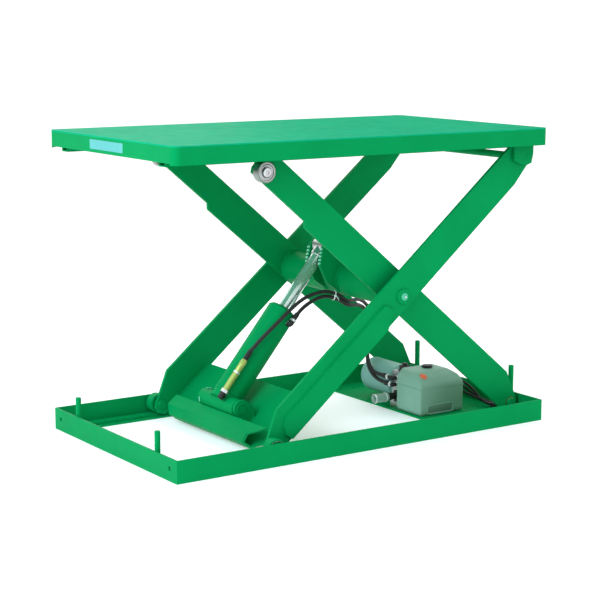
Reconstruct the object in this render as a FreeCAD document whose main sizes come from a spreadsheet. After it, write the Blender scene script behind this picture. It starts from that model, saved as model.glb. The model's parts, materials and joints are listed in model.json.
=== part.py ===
"""Scissor lift table: one pair of crossed arms, one hydraulic cylinder, a floor frame and a deck.

Millimetres, +Z up. The origin is on the floor at the centre of the floor frame. X runs along the
deck, from the roller end (-X) to the fixed pivots (+X); the front side is -Y. The lift is raised.
"""
import FreeCAD, Part
import math
import os
import re
import Sketcher

V = FreeCAD.Vector

SIZES = {
    # deck
    "table_long": 1500, "table_wide": 850, "raised_top": 1044, "deck_thick": 4.5,
    "side_skirt": 60, "end_skirt": 55, "corner_round": 26,
    # floor frame
    "base_long": 1502, "leg": 75, "leg_thick": 6, "strip_tall": 9, "strip_start": 330,
    "left_pin_tall": 138, "right_pin_tall": 176, "rest_dia": 19, "rest_x": 734.5, "rest_y": 275,
    "rail_hole": 16, "rail_hole_y": 380, "rail_hole_z": 41, "cheek_thick": 12,
    # arms: lengths between pivots, lanes measured from the middle plane
    "arm_span": 1390, "rise": 39.8, "fixed_x": 701, "pivot_z": 50, "arm_thick": 12,
    "outer_lane": 352, "inner_lane": 299, "arm_top": 76, "arm_low": 40, "arm_end": 40,
    "bevel_long": 98, "bevel_deep": 56, "relief": 17, "relief_start": 440, "bush_dia": 40,
    "shaft_dia": 25, "shaft_bush": 32,
    # rollers and pivots
    "roller_dia": 69.4, "axle_dia": 20, "pivot_dia": 30, "centre_dia": 40, "fit_gap": 0.05,
    "upper_lane": 312, "rail_wide": 39, "rail_wall": 4, "rail_half": 738, "shake": 0.3,
    # cross plate and nose between the lower ends of the outer arms
    "nose_half": 276, "nose_front": 311, "nose_mitre": 71, "nose_thick": 6, "nose_top": 26,
    "cross_from": 60, "cross_to": 236, "cross_thick": 8,
    # cross tube between the inner arms and the lugs on it
    "tube_t": 4, "tube_v": 18, "tube_dia": 120, "tube_wall": 8, "boss_dia": 62, "boss_thick": 11,
    # cylinder: pin places in the arms' own directions, lengths from the foot pin
    "foot_u": 78, "foot_v": 27, "foot_in": 106, "head_t": 141, "head_v": 55, "lug_in": 32, "lug_thick": 14,
    "barrel_dia": 104, "bore_dia": 80, "rod_dia": 45, "barrel_from": 4, "cap_thick": 30, "barrel_to": 372,
    "gland_long": 17, "eye_dia": 60, "eye_half": 31, "pin_dia": 30, "piston_at": 302, "piston_long": 38,
    # power unit
    "tank_x": 400, "tank_long": 200, "tank_y": -171, "tank_deep": 144, "tank_z": 6,
    "tank_shoulder": 128, "tank_top": 165, "motor_x": 490, "motor_z": 85, "motor_dia": 124,
    "motor_from": 45, "motor_long": 178, "block_wide": 104, "block_tall": 112,
    "plate_from": 393, "plate_to": 676,
    # hoses and cables
    "port_out": 70, "port_turn": 46, "top_port_at": 348, "top_port_out": 66, "top_port_turn": -15,
    "hose_dia": 13, "cable_dia": 9, "plug_x": 687, "plug_y": -214,
}

doc = FreeCAD.newDocument("scissor_lift_table")
sheet = doc.addObject("Spreadsheet::Sheet", "Sizes")
for row, (alias, number) in enumerate(SIZES.items(), start=1):
    sheet.set("A%d" % row, alias)
    sheet.set("B%d" % row, str(number))
    sheet.setAlias("B%d" % row, alias)
doc.recompute()

NODES = []
SIDES = (("front", -1), ("rear", 1))

# Places that several sub-parts share, as expressions of the driving sizes.
CENTRE_X = "(fixed_x - arm_span / 2 * cos(rise))"
CENTRE_Z = "(pivot_z + arm_span / 2 * sin(rise))"
UPPER_Z = "(pivot_z + arm_span * sin(rise))"
ROLLER_X = "(fixed_x - arm_span * cos(rise))"
DECK_LOW = "(raised_top - deck_thick)"
RAIL_LOW = "(%s + roller_dia / 2 + shake)" % UPPER_Z
HALF_WIDE = "(table_wide / 2)"


def bound(text):
    """Turn plain size names into references to the sheet."""
    return re.sub(r"[a-z_]+", lambda word: "Sizes." + word[0] if word[0] in SIZES else word[0], str(text))


def value(text):
    """The number that an expression of size names gives now."""
    return float(sheet.evalExpression(bound(text)))


def place(part, x=0, y=0, z=0, axis=(0, 0, 1), angle=0):
    """Bind a part's placement: a position, and a turn about an axis."""
    turn = "rotation(vector(%s; %s; %s); %s)" % (*map(bound, axis), bound(angle))
    spot = "vector(%s; %s; %s)" % (bound(x), bound(y), bound(z))
    part.setExpression("Placement", "placement(%s; %s)" % (spot, turn))
    return part


def node(part, name):
    """Name a finished sub-part."""
    part.Label = name
    NODES.append(part)
    return part


def outer_at(u, v):
    """World X and Z of a point on the outer arms: u from the roller axle, v square to the arm."""
    x = "(%s + (%s) * cos(rise) - (%s) * sin(rise))" % (ROLLER_X, u, v)
    z = "(pivot_z + (%s) * sin(rise) + (%s) * cos(rise))" % (u, v)
    return x, z


def inner_at(t, v):
    """World X and Z of a point on the inner arms: t from the centre pivot, up to the left."""
    x = "(%s - (%s) * cos(rise) + (%s) * sin(rise))" % (CENTRE_X, t, v)
    z = "(%s + (%s) * sin(rise) + (%s) * cos(rise))" % (CENTRE_Z, t, v)
    return x, z


def on_outer(part, y=0):
    """Put a part drawn in the outer arms' own X and Z, from the roller axle, where it belongs."""
    x, z = outer_at(0, 0)
    return place(part, x, y, z, (0, 1, 0), "-rise")


def on_inner(part, y=0):
    """The same for the inner arms, whose own X runs from the centre pivot up to the left."""
    x, z = inner_at(0, 0)
    return place(part, x, y, z, ("sin(rise / 2)", 0, "cos(rise / 2)"), 180)


def outline(body, plane, corners, holes=()):
    """A sketch on one of the body's own planes: a closed polygon, and round holes in it."""
    drawing = body.newObject("Sketcher::SketchObject", body.Name + "_outline")
    drawing.AttachmentSupport = [(f, "") for f in body.Origin.OriginFeatures if f.Role == plane]
    drawing.MapMode = "FlatFace"
    count = len(corners)
    spots = [V(value(across), value(up), 0) for across, up in corners]
    for index in range(count):
        drawing.addGeometry(Part.LineSegment(spots[index], spots[(index + 1) % count]), False)
    for index in range(count):
        drawing.addConstraint(Sketcher.Constraint("Coincident", index, 2, (index + 1) % count, 1))
    for index, (across, up) in enumerate(corners):
        fix(drawing, "DistanceX", index, 1, across)
        fix(drawing, "DistanceY", index, 1, up)
    for across, up, width in holes:
        centre = V(value(across), value(up), 0)
        index = drawing.addGeometry(Part.Circle(centre, V(0, 0, 1), value(width) / 2), False)
        fix(drawing, "DistanceX", index, 3, across)
        fix(drawing, "DistanceY", index, 3, up)
        number = drawing.addConstraint(Sketcher.Constraint("Diameter", index, value(width)))
        drawing.setExpression("Constraints[%d]" % number, bound(width))
    return drawing


def fix(drawing, kind, geometry, point, text):
    """Hold one coordinate of a sketch point at an expression."""
    number = drawing.addConstraint(Sketcher.Constraint(kind, geometry, point, value(text)))
    drawing.setExpression("Constraints[%d]" % number, bound(text))


def plate(name, corners, thick, holes=(), plane="XZ_Plane"):
    """A flat piece: an outline in X and Z, and a thickness towards +Y (or in X and Y, towards +Z)."""
    body = doc.addObject("PartDesign::Body", name)
    pad = body.newObject("PartDesign::Pad", name + "_pad")
    pad.Profile = outline(body, plane, corners, holes)
    pad.setExpression("Length", bound(thick))
    pad.Reversed = plane == "XZ_Plane"
    body.Tip = pad
    return body


def turned(name, profile):
    """A turned piece about its own Z: its profile is radius and height pairs."""
    body = doc.addObject("PartDesign::Body", name)
    drawing = outline(body, "XZ_Plane", profile)
    turn = body.newObject("PartDesign::Revolution", name + "_turn")
    turn.Profile = drawing
    turn.ReferenceAxis = (drawing, ["V_Axis"])
    turn.Angle = 360
    body.Tip = turn
    return body


def box(name, low, high):
    """A block between two corners."""
    part = doc.addObject("Part::Box", name)
    for size, start, end in zip(("Length", "Width", "Height"), low, high):
        part.setExpression(size, bound("(%s) - (%s)" % (end, start)))
    return place(part, *low)


def drum(name, width, long, at, axis="y"):
    """A plain cylinder that starts at a point and runs along +X, +Y or +Z."""
    part = doc.addObject("Part::Cylinder", name)
    part.setExpression("Radius", bound("(%s) / 2" % width))
    part.setExpression("Height", bound(long))
    spin = {"x": ((0, 1, 0), 90), "y": ((1, 0, 0), -90), "z": ((0, 0, 1), 0)}[axis]
    return place(part, *at, *spin)


def joined(name, parts):
    """Several shapes fused into one piece."""
    fuse = doc.addObject("Part::MultiFuse", name)
    fuse.Shapes = parts
    fuse.Refine = True
    return fuse


def cut(name, base, tool):
    """One shape with another taken out of it."""
    part = doc.addObject("Part::Cut", name)
    part.Base = base
    part.Tool = tool
    return part


def grouped(name, parts):
    """Separate identical pieces that share one node."""
    group = doc.addObject("Part::Compound", name)
    group.Links = parts
    return node(group, name)


def lane(side, start, thick):
    """The lower Y of a layer that starts at a distance from the middle plane, on one side."""
    return start if side > 0 else "-(%s) - (%s)" % (start, thick)


def inner_y(side, start, thick):
    """The same for a part laid with on_inner, whose own Y points to -Y."""
    return "(%s) + (%s)" % (start, thick) if side > 0 else "-(%s)" % start


def y_turn(side):
    """The turn that points a turned piece's own Z away from the middle plane."""
    return ((1, 0, 0), -90 if side > 0 else 90)


# ---------------------------------------------------------------- floor frame
def floor_frame():
    """Four angle rails, the roller strips, the rest pins and the plate under the power unit."""
    half = "(base_long / 2)"
    rails = []
    strips = []
    for side in (-1, 1):
        web_y = lane(side, "table_wide / 2 - leg_thick", "leg_thick")
        flange = lane(side, "table_wide / 2 - leg", "leg")
        web = box("side_rail_web", ("-" + half, web_y, 0), (half, "(%s) + leg_thick" % web_y, "leg"))
        foot = box("side_rail_foot", ("-%s + leg_thick" % half, flange, 0),
                   (half + " - leg_thick", "(%s) + leg" % flange, "leg_thick"))
        rails.append(joined("side_rail", [web, foot]))
        strip = lane(side, "outer_lane + 16", 36)
        strips.append(box("roller_strip", ("-%s + leg_thick" % half, strip, "leg_thick"),
                          ("-strip_start", "(%s) + 36" % strip, "leg_thick + strip_tall")))
    grouped("side_rails", rails)
    grouped("roller_strips", strips)
    inside = "(table_wide / 2 - leg_thick)"
    flat = "(table_wide / 2 - leg)"
    ends = []
    for side in (-1, 1):
        web_x = lane(side, "base_long / 2 - leg_thick", "leg_thick")
        foot_x = lane(side, "base_long / 2 - leg", "leg")
        web = box("end_rail_web", (web_x, "-" + inside, 0), ("(%s) + leg_thick" % web_x, inside, "leg"))
        foot = box("end_rail_foot", (foot_x, "-" + flat, 0), ("(%s) + leg" % foot_x, flat, "leg_thick"))
        holes = [drum("rail_hole_cutter", "rail_hole", "leg_thick", (web_x, y, "rail_hole_z"), "x")
                 for y in ("-rail_hole_y", "rail_hole_y")]
        ends.append(cut("end_rail", joined("end_rail_blank", [web, foot]), joined("rail_holes", holes)))
    grouped("end_rails", ends)
    pins = []
    for x, tall in (("-rest_x", "(left_pin_tall - leg_thick)"), ("rest_x", "(right_pin_tall - leg_thick)")):
        for y in ("-rest_y", "rest_y"):
            pin = turned("rest_pin", ((0, 0), ("rest_dia / 2", 0), ("rest_dia / 2", tall + " - 2"),
                                      ("rest_dia / 2 - 2", tall), (0, tall)))
            pins.append(place(pin, x, y, "leg_thick"))
    grouped("rest_pins", pins)
    node(box("power_unit_plate", ("plate_from", "-" + flat, 0), ("plate_to", flat, "leg_thick")),
         "power_unit_plate")


def lower_pivots():
    """A cheek and a fixed pin at the floor frame's right end for each inner arm."""
    cheeks = []
    pins = []
    for side in (-1, 1):
        cheek = plate("lower_cheek", (
            ("fixed_x - 38", "leg_thick"), ("fixed_x + 42", "leg_thick"), ("fixed_x + 42", "pivot_z + 6"),
            ("fixed_x + 20", "pivot_z + 28"), ("fixed_x - 20", "pivot_z + 28"),
            ("fixed_x - 38", "pivot_z + 6")),
            "cheek_thick", [("fixed_x", "pivot_z", "pivot_dia")])
        cheeks.append(place(cheek, 0, lane(side, "inner_lane - 2 - cheek_thick", "cheek_thick")))
        pin = turned("lower_pin", (
            (0, 0), (22, 0), (22, 5), ("pivot_dia / 2", 5), ("pivot_dia / 2", 39), ("pivot_dia / 2 - 2", 41),
            (0, 41)))
        start = lane(side, "inner_lane - 2 - cheek_thick - 5", 0)
        pins.append(place(pin, "fixed_x", start, "pivot_z", *y_turn(side)))
    grouped("lower_cheeks", cheeks)
    grouped("lower_pins", pins)


# ---------------------------------------------------------------- arms
def outer_arms():
    """The outer pair: roller at the lower left end, fixed pivot under the deck at the upper right."""
    corners = (
        (-12, "-arm_low"), ("arm_span - bevel_long", "-arm_low"), ("arm_span - 14", -25),
        ("arm_span + 8", -26), ("arm_span + 22", -14), ("arm_span + arm_end", "arm_end * 0.4"),
        ("arm_span + arm_end", "arm_top"),
        ("bevel_long", "arm_top"), (-3, "arm_top - bevel_deep"), (-24, 7), (-30, -12))
    holes = [(0, 0, "axle_dia"), ("arm_span / 2", 0, "centre_dia"), ("arm_span", 0, "shaft_bush")]
    doublers = []
    bushes = []
    pins = []
    collars = []
    for name, side in SIDES:
        arm = plate(name + "_outer_arm", corners, "arm_thick", holes)
        node(on_outer(arm, lane(side, "outer_lane", "arm_thick")), name + "_outer_arm")
        doubler = plate("arm_doubler", (
            (74, "-arm_low"), ("arm_span / 2 - 120", "-arm_low"), ("arm_span / 2 - 60", "-arm_low + 36"),
            ("arm_span / 2 - 75", "-arm_low + 72"), (100, "-arm_low + 72"), (76, "-arm_low + 52"),
            (66, "-arm_low + 26")), 9)
        doublers.append(on_outer(doubler, lane(side, "outer_lane + arm_thick", 9)))
        x, z = outer_at("arm_span", 0)
        bush = turned("upper_bush", (
            ("shaft_dia / 2 + fit_gap", 0), ("shaft_bush / 2", 0), ("shaft_bush / 2", "arm_thick"),
            ("shaft_dia / 2 + fit_gap", "arm_thick")))
        bushes.append(place(bush, x, lane(side, "outer_lane", 0), z, *y_turn(side)))
        x, z = outer_at("arm_span / 2", 0)
        start = "(inner_lane - boss_thick - 8)"
        plate_at = "outer_lane - " + start
        pin = turned("centre_pin", (
            (0, 0), ("centre_dia / 2 - 3", 0), ("centre_dia / 2 - 3", 7.5), ("centre_dia / 2", 7.5),
            ("centre_dia / 2", "8 + boss_thick + arm_thick + 0.5"), (30, "8 + boss_thick + arm_thick + 0.5"),
            (30, plate_at), ("centre_dia / 2", plate_at), ("centre_dia / 2", plate_at + " + arm_thick"),
            (26, plate_at + " + arm_thick"), (26, plate_at + " + arm_thick + 5"),
            (24, plate_at + " + arm_thick + 7"), (13, plate_at + " + arm_thick + 7"),
            (13, plate_at + " + arm_thick + 4"), (0, plate_at + " + arm_thick + 4")))
        pins.append(place(pin, x, lane(side, start, 0), z, *y_turn(side)))
        collar = turned("centre_collar", (
            ("centre_dia / 2 - 3", 0), (27, 0), (27, 7), ("centre_dia / 2 - 3", 7)))
        collars.append(place(collar, x, lane(side, start + " + 0.5", 0), z, *y_turn(side)))
    grouped("arm_doublers", doublers)
    grouped("upper_bushes", bushes)
    grouped("centre_pins", pins)
    grouped("centre_collars", collars)


def outer_cross():
    """The bent nose and the sloping plate between the outer arms, with the cylinder's foot lugs."""
    nose = plate("nose_blank", (
        (46, "nose_top"), (0, "nose_top"), (-21, -5), (-14, "-arm_low"), ("cross_from", "-arm_low"),
        ("cross_from", "-arm_low + nose_thick"), (-8.5, "-arm_low + nose_thick"), (-14.5, -5.5),
        (3, "nose_top - nose_thick"), (46, "nose_top - nose_thick")), "nose_half + nose_front")
    mitre = plate("nose_mitre_cutter", (
        (46, "-nose_front"), (46, "-nose_front - 40"), (-60, "-nose_front - 40"),
        (-60, "-nose_front + nose_mitre / 46 * 106")), 140, plane="XY_Plane")
    x, z = outer_at(0, -70)
    place(mitre, x, 0, z, (0, 1, 0), "-rise")
    node(cut("nose_plate", on_outer(nose, "-nose_front"), mitre), "nose_plate")
    slope = plate("sloping_cross_plate", (
        ("cross_from", "-arm_low"), ("cross_to", "-arm_low"), ("cross_to", "-arm_low + cross_thick"),
        ("cross_from", "-arm_low + cross_thick")), "outer_lane * 2")
    node(on_outer(slope, "-outer_lane"), "sloping_cross_plate")
    low = "-arm_low + cross_thick"
    lugs = []
    for side in (-1, 1):
        lug = plate("foot_lug", (
            ("cross_from + 2", low), ("foot_u + 22", low), ("foot_u + 32", "foot_v - 45"),
            ("foot_u + 36", "foot_v + 1"), ("foot_u + 29", "foot_v + 15"), ("foot_u + 16", "foot_v + 25"),
            ("foot_u + 3", "foot_v + 29"), ("foot_u - 12", "foot_v + 26"), ("foot_u - 23", "foot_v + 15"),
            ("foot_u - 27", "foot_v - 4"), ("foot_u - 27", 5), ("cross_from - 6", -12),
            ("cross_from + 2", -20)), "lug_thick", [("foot_u", "foot_v", "pin_dia")])
        lugs.append(on_outer(lug, lane(side, "foot_in", "lug_thick")))
    grouped("foot_lugs", lugs)
    x, z = outer_at("foot_u", "foot_v")
    reach = "(foot_in + lug_thick + 1)"
    pin = turned("foot_pin", (
        (0, 0), ("pin_dia / 2 - 2", 0), ("pin_dia / 2", 2), ("pin_dia / 2", reach + " * 2 - 2"),
        ("pin_dia / 2 - 2", reach + " * 2"), (0, reach + " * 2")))
    node(place(pin, x, "-" + reach, z, (1, 0, 0), -90), "foot_pin")


def inner_arms():
    """The inner pair: fixed pivot at the lower right end, roller under the deck at the upper left."""
    far = "arm_span / 2"
    corners = (
        ("-(%s) + bevel_long - 11" % far, "arm_top"), ("-(%s) + 11" % far, 40), ("-(%s) - 16" % far, 26),
        ("-(%s) - 30" % far, 8), ("-(%s) - 30" % far, -12), ("-(%s) - 14" % far, "-arm_low"),
        ("relief_start", "-arm_low"), ("relief_start + 16", "-arm_low + relief"),
        (far + " + 24", "-arm_low + relief"), (far + " + 32", -8), (far + " + 32", "arm_top - 14"),
        (far + " + 18", "arm_top"))
    holes = [(0, 0, "centre_dia + fit_gap * 2"), ("-arm_span / 2", 0, "bush_dia"), (far, 0, "axle_dia")]
    bushes = []
    bosses = []
    for name, side in SIDES:
        arm = plate(name + "_inner_arm", corners, "arm_thick", holes)
        node(on_inner(arm, inner_y(side, "inner_lane", "arm_thick")), name + "_inner_arm")
        bush = turned("lower_bush", (
            ("pivot_dia / 2 + fit_gap", 0), ("bush_dia / 2", 0), ("bush_dia / 2", "arm_thick"),
            ("pivot_dia / 2 + fit_gap", "arm_thick")))
        bushes.append(place(bush, "fixed_x", lane(side, "inner_lane", 0), "pivot_z", *y_turn(side)))
        x, z = inner_at(0, 0)
        boss = turned("centre_boss", (
            ("centre_dia / 2 + fit_gap", 0), ("boss_dia / 2 - 3", 0), ("boss_dia / 2", 3),
            ("boss_dia / 2", "boss_thick"), ("centre_dia / 2 + fit_gap", "boss_thick")))
        bosses.append(place(boss, x, lane(side, "inner_lane - boss_thick", 0), z, *y_turn(side)))
    grouped("lower_bushes", bushes)
    grouped("centre_bosses", bosses)


def inner_cross():
    """The cross tube between the inner arms, and the two lugs that the cylinder's rod pushes on."""
    x, z = inner_at("tube_t", "tube_v")
    outside = drum("tube_outside", "tube_dia", "inner_lane * 2", (x, "-inner_lane", z))
    inside = drum("tube_inside", "tube_dia - tube_wall * 2", "inner_lane * 2", (x, "-inner_lane", z))
    node(cut("inner_cross_tube", outside, inside), "inner_cross_tube")
    lugs = []
    for side in (-1, 1):
        blank = plate("head_lug_blank", (
            ("tube_t", "tube_v + tube_dia / 2 - 1"), ("head_t - 24", "head_v + 31"),
            ("head_t + 8", "head_v + 31"), ("head_t + 31", "head_v + 10"), ("head_t + 29", "head_v - 20"),
            ("head_t - 2", "head_v - 75"),
            ("head_t - 68", "head_v - 104"), ("tube_t", "tube_v - tube_dia / 2 + 1")),
            "lug_thick", [("head_t", "head_v", "pin_dia")])
        on_inner(blank, inner_y(side, "lug_in", "lug_thick"))
        round_off = drum("lug_clearance", "tube_dia", "inner_lane * 2", (x, "-inner_lane", z))
        flat_lug = cut("head_lug_plate", blank, round_off)
        spot_x, spot_z = inner_at("head_t", "head_v")
        stub_y = lane(side, "lug_in", "lug_thick + 6")
        stub = drum("head_pin_end", "pin_dia", "lug_thick + 6", (spot_x, stub_y, spot_z))
        lugs.append(joined("head_lug", [flat_lug, stub]))
    grouped("head_lugs", lugs)


# ---------------------------------------------------------------- rollers
def rollers():
    """A bearing roller and its axle at the free end of each arm."""
    lower = outer_at(0, 0)
    upper = inner_at("arm_span / 2", 0)
    ends = (("lower", lower, "outer_lane", 4, 34), ("upper", upper, "inner_lane", 3.5, 30))
    for level, (x, z), start, shoulder, wide in ends:
        axles = []
        for name, side in SIDES:
            face = "%s + arm_thick" % start
            stem = "axle_dia / 2"
            step = 10 + value("arm_thick")
            far = step + shoulder + wide + 0.8
            axle = turned(level + "_axle", (
                (0, 0), (15, 0), (15, 10), (stem, 10), (stem, step), (17, step), (17, step + shoulder),
                (stem, step + shoulder), (stem, far), (15, far), (15, far + 3), (14, far + 4), (6, far + 4),
                (6, far), (0, far)))
            axles.append(place(axle, x, lane(side, start + " - 10", 0), z, *y_turn(side)))
            bore = "axle_dia / 2 + fit_gap"
            wheel = turned("%s_%s_roller" % (name, level), (
                (bore, 1), (17, 1), (18, 3), (26, 3), (27, 0), ("roller_dia / 2 - 2", 0),
                ("roller_dia / 2", 2),
                ("roller_dia / 2", wide - 2), ("roller_dia / 2 - 2", wide), (27, wide), (26, wide - 3),
                (18, wide - 3), (17, wide - 1), (bore, wide - 1)))
            place(wheel, x, lane(side, "%s + %s" % (face, shoulder + 0.4), 0), z, *y_turn(side))
            node(wheel, "%s_%s_roller" % (name, level))
        grouped(level + "_axles", axles)


# ---------------------------------------------------------------- deck
def rounded(name, low, high, radius):
    """A block whose four upright edges are rounded."""
    blank = box(name + "_blank", low, high)
    doc.recompute()
    upright = [index for index, edge in enumerate(blank.Shape.Edges, start=1)
               if abs(edge.tangentAt(edge.FirstParameter).z) > 0.99]
    part = doc.addObject("Part::Fillet", name)
    part.Base = blank
    part.Edges = [(index, value(radius), value(radius)) for index in upright]
    return part


def deck():
    """The deck plate, its skirts, the rails and ribs under it and the upper pivots."""
    half = "(table_long / 2)"
    node(rounded("deck_plate", ("-" + half, "-" + HALF_WIDE, DECK_LOW), (half, HALF_WIDE, "raised_top"),
                 "corner_round"), "deck_plate")
    edge = "deck_thick"
    skirts = []
    rails = []
    brackets = []
    for side in (-1, 1):
        low = "raised_top - side_skirt"
        outside = rounded("skirt_outside", ("-" + half, "-" + HALF_WIDE, low),
                          (half, HALF_WIDE, DECK_LOW), "corner_round")
        inside = rounded("skirt_inside", ("-%s + %s" % (half, edge), "-%s + %s" % (HALF_WIDE, edge), low),
                         ("%s - %s" % (half, edge), "%s - %s" % (HALF_WIDE, edge), DECK_LOW),
                         "corner_round - " + edge)
        ring = cut("skirt_ring", outside, inside)
        band = lane(side, HALF_WIDE + " - corner_round", "corner_round")
        window = box("skirt_window", ("-" + half, band, low), (half, "(%s) + corner_round" % band, DECK_LOW))
        part = doc.addObject("Part::Common", "side_skirt")
        part.Base = ring
        part.Tool = window
        skirts.append(part)
        rail = lane(side, "upper_lane", "rail_wide")
        outer = box("deck_rail_outside", ("-rail_half", rail, RAIL_LOW),
                    ("rail_half", "(%s) + rail_wide" % rail, DECK_LOW))
        inner = box("deck_rail_inside", ("-rail_half", "(%s) + rail_wall" % rail, RAIL_LOW + " + rail_wall"),
                    ("rail_half", "(%s) + rail_wide - rail_wall" % rail, DECK_LOW + " - rail_wall"))
        rails.append(cut("deck_rail", outer, inner))
        bracket = plate("upper_bracket", (
            ("fixed_x - 52", RAIL_LOW), ("fixed_x - 48", UPPER_Z + " + 6"),
            ("fixed_x - 22", UPPER_Z + " - 24"), ("fixed_x + 22", UPPER_Z + " - 24"),
            ("fixed_x + 38", UPPER_Z + " + 4"), ("fixed_x + 40", RAIL_LOW)),
            14, [("fixed_x", UPPER_Z, "shaft_dia")])
        brackets.append(place(bracket, 0, lane(side, "upper_lane + rail_wide - 15", 14)))
        outboard = plate("outer_bracket", (
            ("fixed_x - 65", DECK_LOW), ("fixed_x - 65", UPPER_Z + " - 9"),
            ("fixed_x - 30", UPPER_Z + " - 24"),
            ("fixed_x - 8", UPPER_Z + " - 27"), ("fixed_x + 14", UPPER_Z + " - 20"),
            ("fixed_x + 22", UPPER_Z + " + 12"), ("fixed_x + 22", DECK_LOW)),
            12, [("fixed_x", UPPER_Z, "shaft_dia")])
        brackets.append(place(outboard, 0, lane(side, "outer_lane + arm_thick + 2", 12)))
    grouped("side_skirts", skirts)
    grouped("deck_rails", rails)
    grouped("upper_brackets", brackets)
    across = "(%s - corner_round)" % HALF_WIDE
    ends = []
    for side in (-1, 1):
        band = lane(side, half + " - deck_thick", "deck_thick")
        ends.append(box("end_skirt", (band, "-" + across, "raised_top - end_skirt"),
                        ("(%s) + deck_thick" % band, across, DECK_LOW)))
    grouped("end_skirts", ends)
    ribs = [box("deck_rib", (x, "4 - inner_lane", DECK_LOW + " - 40"), (x + 6, "inner_lane - 4", DECK_LOW))
            for x in (-600, -400, 40, 300)]
    grouped("deck_ribs", ribs)
    reach = "(outer_lane + arm_thick + 15)"
    shaft = drum("upper_pivot_shaft", "shaft_dia", reach + " * 2", ("fixed_x", "-" + reach, UPPER_Z))
    node(shaft, "upper_pivot_shaft")
    collars = []
    for side in (-1, 1):
        collar = turned("shaft_collar", (
            ("shaft_dia / 2", 0), (21, 0), (21, 6), (20, 7), ("shaft_dia / 2", 7)))
        start = lane(side, "upper_lane + rail_wide - 15 - 7.5", 0)
        collars.append(place(collar, "fixed_x", start, UPPER_Z, *y_turn(side)))
    grouped("shaft_collars", collars)


# ---------------------------------------------------------------- cylinder
FOOT_X, FOOT_Z = outer_at("foot_u", "foot_v")
HEAD_X, HEAD_Z = inner_at("head_t", "head_v")
LEAN = "(90 deg - atan2(%s - %s; %s - %s))" % (HEAD_Z, FOOT_Z, HEAD_X, FOOT_X)
PIN_TO_PIN = "sqrt((%s - %s)^2 + (%s - %s)^2)" % (HEAD_X, FOOT_X, HEAD_Z, FOOT_Z)


def on_cylinder(part, spot=(0, 0, 0), axis=(0, 0, 1), angle=0):
    """Put a part where it belongs on the cylinder: own Z runs from the foot pin to the head pin."""
    spin = "rotation(vector(0; 1; 0); %s)" % bound(LEAN)
    base = "placement(vector(%s; 0; %s); %s)" % (bound(FOOT_X), bound(FOOT_Z), spin)
    turn = "rotation(vector(%s; %s; %s); %s)" % (*map(bound, axis), bound(angle))
    own = "placement(vector(%s; %s; %s); %s)" % (*map(bound, spot), turn)
    part.setExpression("Placement", "%s * %s" % (base, own))
    return part


def eye(name, at, neck_from, neck_long, bore, half="eye_half"):
    """A round eye across the cylinder with a neck along it."""
    ring = drum(name + "_ring", "eye_dia", "(%s) * 2" % half, (0, 0, 0))
    on_cylinder(ring, (0, "-(%s)" % half, at), (1, 0, 0), -90)
    neck = on_cylinder(drum(name + "_neck", 54, neck_long, (0, 0, 0), "z"), (0, 0, neck_from))
    hole = drum(name + "_hole", bore, "(%s) * 2" % half, (0, 0, 0))
    on_cylinder(hole, (0, "-(%s)" % half, at), (1, 0, 0), -90)
    return ring, neck, hole


def cylinder():
    """The hydraulic cylinder: barrel, gland, wiper, piston, rod and the two eyes."""
    ring, neck, hole = eye("foot_eye", 0, 0, "barrel_from + 4", "pin_dia + fit_gap * 2", "foot_in - 1")
    cap = on_cylinder(drum("foot_cap", "barrel_dia", "cap_thick", (0, 0, 0), "z"), (0, 0, "barrel_from"))
    node(cut("barrel_foot", joined("foot_blank", [ring, neck, cap]), hole), "barrel_foot")
    tube = turned("barrel_tube", (
        ("bore_dia / 2", "barrel_from + cap_thick"), ("barrel_dia / 2", "barrel_from + cap_thick"),
        ("barrel_dia / 2", "barrel_to"), ("bore_dia / 2", "barrel_to")))
    node(on_cylinder(tube), "barrel_tube")
    rod_hole = "rod_dia / 2 + fit_gap"
    gland = turned("gland", ((rod_hole, "barrel_to - 20"), ("bore_dia / 2", "barrel_to - 20"),
                             ("bore_dia / 2", "barrel_to"), ("barrel_dia / 2", "barrel_to"),
                             ("barrel_dia / 2", "barrel_to + gland_long - 8"),
                             ("barrel_dia / 2 - 8", "barrel_to + gland_long"),
                             (rod_hole, "barrel_to + gland_long")))
    node(on_cylinder(gland), "gland")
    wiper = turned("rod_wiper", ((rod_hole, "barrel_to + gland_long"), (31, "barrel_to + gland_long"),
                                 (28, "barrel_to + gland_long + 5"),
                                 (rod_hole, "barrel_to + gland_long + 5")))
    node(on_cylinder(wiper), "rod_wiper")
    groove = "piston_at + 12"
    bore = "bore_dia / 2 - fit_gap"
    piston = turned("piston", (
        (15, "piston_at"), (bore, "piston_at"), (bore, groove), (35, groove), (35, groove + " + 14"),
        (bore, groove + " + 14"), (bore, "piston_at + piston_long"), (15, "piston_at + piston_long")))
    node(on_cylinder(piston), "piston")
    seal = turned("piston_seal", (
        (35, groove), (bore, groove), (bore, groove + " + 14"), (35, groove + " + 14")))
    node(on_cylinder(seal), "piston_seal")
    rod = turned("piston_rod", (
        (0, "piston_at - 12"), (23, "piston_at - 12"), (23, "piston_at"), (15, "piston_at"),
        (15, "piston_at + piston_long"),
        ("rod_dia / 2", "piston_at + piston_long"), ("rod_dia / 2", PIN_TO_PIN + " - 42"),
        (0, PIN_TO_PIN + " - 42")))
    node(on_cylinder(rod), "piston_rod")
    ring, neck, hole = eye("rod_eye", PIN_TO_PIN, PIN_TO_PIN + " - 42", 42, "pin_dia")
    node(cut("rod_eye", joined("rod_eye_blank", [ring, neck]), hole), "rod_eye")
    pin = on_cylinder(drum("head_pin", "pin_dia", "eye_half * 2", (0, 0, 0)),
                      (0, "-eye_half", PIN_TO_PIN), (1, 0, 0), -90)
    node(pin, "head_pin")


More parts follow.
